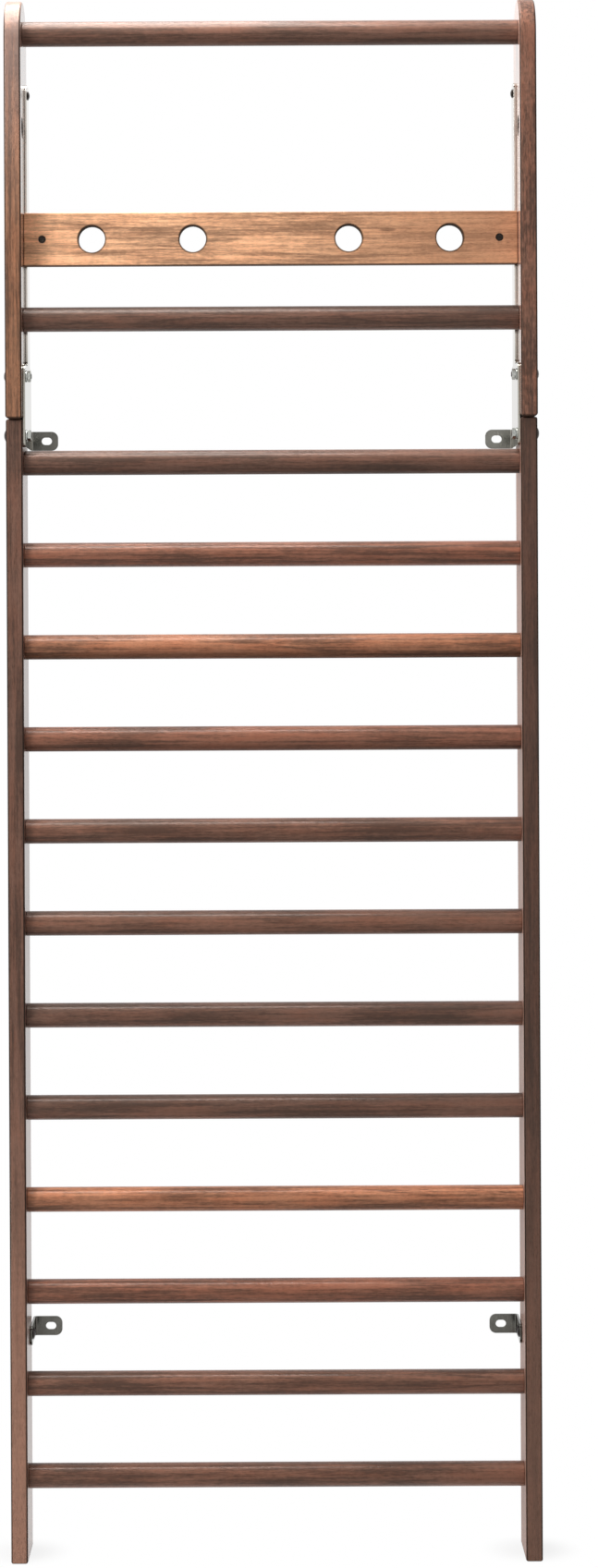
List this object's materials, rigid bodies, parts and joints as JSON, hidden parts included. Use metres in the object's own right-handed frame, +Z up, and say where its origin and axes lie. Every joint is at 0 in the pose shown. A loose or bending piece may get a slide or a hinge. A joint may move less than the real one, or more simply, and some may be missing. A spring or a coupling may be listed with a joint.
{
  "type": "wall bars",
  "caption": "Tall ladder of round bars between two flat side uprights, with a pierced cross board near the top and folded steel brackets that reach back to the wall",
  "frame": {"origin": "on the floor, in the middle of the overall box", "axes": "+Z up along the uprights, +X to the right seen from the front, +Y back to the wall, whose face is at y = 0.065"},
  "size_m": [0.717, 0.13, 2.0938],
  "materials": {
    "upright_wood": "dark walnut-coloured wood, satin oil",
    "bar_wood": "dark walnut-coloured wood, satin oil",
    "board_wood": "pale warm wood, satin",
    "dowel_wood": "plain pale wood",
    "bracket_steel": "dull grey sheet steel",
    "bright_zinc": "bright zinc",
    "black_steel": "blackened steel"
  },
  "bodies": {
    "root": {"lower_upright_left": "upright_wood", "lower_upright_right": "upright_wood", "upper_upright_left": "upright_wood", "upper_upright_right": "upright_wood", "pull_up_bar": "bar_wood", "bar_02": "bar_wood", "bar_03": "bar_wood", "bar_04": "bar_wood", "bar_05": "bar_wood", "bar_06": "bar_wood", "bar_07": "bar_wood", "bar_08": "bar_wood", "bar_09": "bar_wood", "bar_10": "bar_wood", "bar_11": "bar_wood", "bar_12": "bar_wood", "bar_13": "bar_wood", "bar_14": "bar_wood", "cross_board": "board_wood", "splice_dowel_left_front": "dowel_wood", "splice_dowel_left_rear": "dowel_wood", "splice_dowel_right_front": "dowel_wood", "splice_dowel_right_rear": "dowel_wood", "upper_wall_bracket_left": "bracket_steel", "upper_wall_bracket_right": "bracket_steel", "lower_wall_bracket_left": "bracket_steel", "lower_wall_bracket_right": "bracket_steel", "splice_bolt_left_lower": "black_steel", "splice_bolt_left_upper": "black_steel", "splice_bolt_right_lower": "black_steel", "splice_bolt_right_upper": "black_steel", "splice_washer_left_lower": "bright_zinc", "splice_washer_left_upper": "bright_zinc", "splice_washer_right_lower": "bright_zinc", "splice_washer_right_upper": "bright_zinc", "splice_nut_left_lower": "bright_zinc", "splice_nut_left_upper": "bright_zinc", "splice_nut_right_lower": "bright_zinc", "splice_nut_right_upper": "bright_zinc", "board_bolt_left": "black_steel", "board_bolt_right": "black_steel", "barrel_nut_left": "black_steel", "barrel_nut_right": "black_steel", "tail_screw_left": "black_steel", "tail_screw_right": "black_steel", "lower_bracket_screw_left_front": "black_steel", "lower_bracket_screw_left_rear": "black_steel", "lower_bracket_screw_right_front": "black_steel", "lower_bracket_screw_right_rear": "black_steel"}
  },
  "joints": []
}
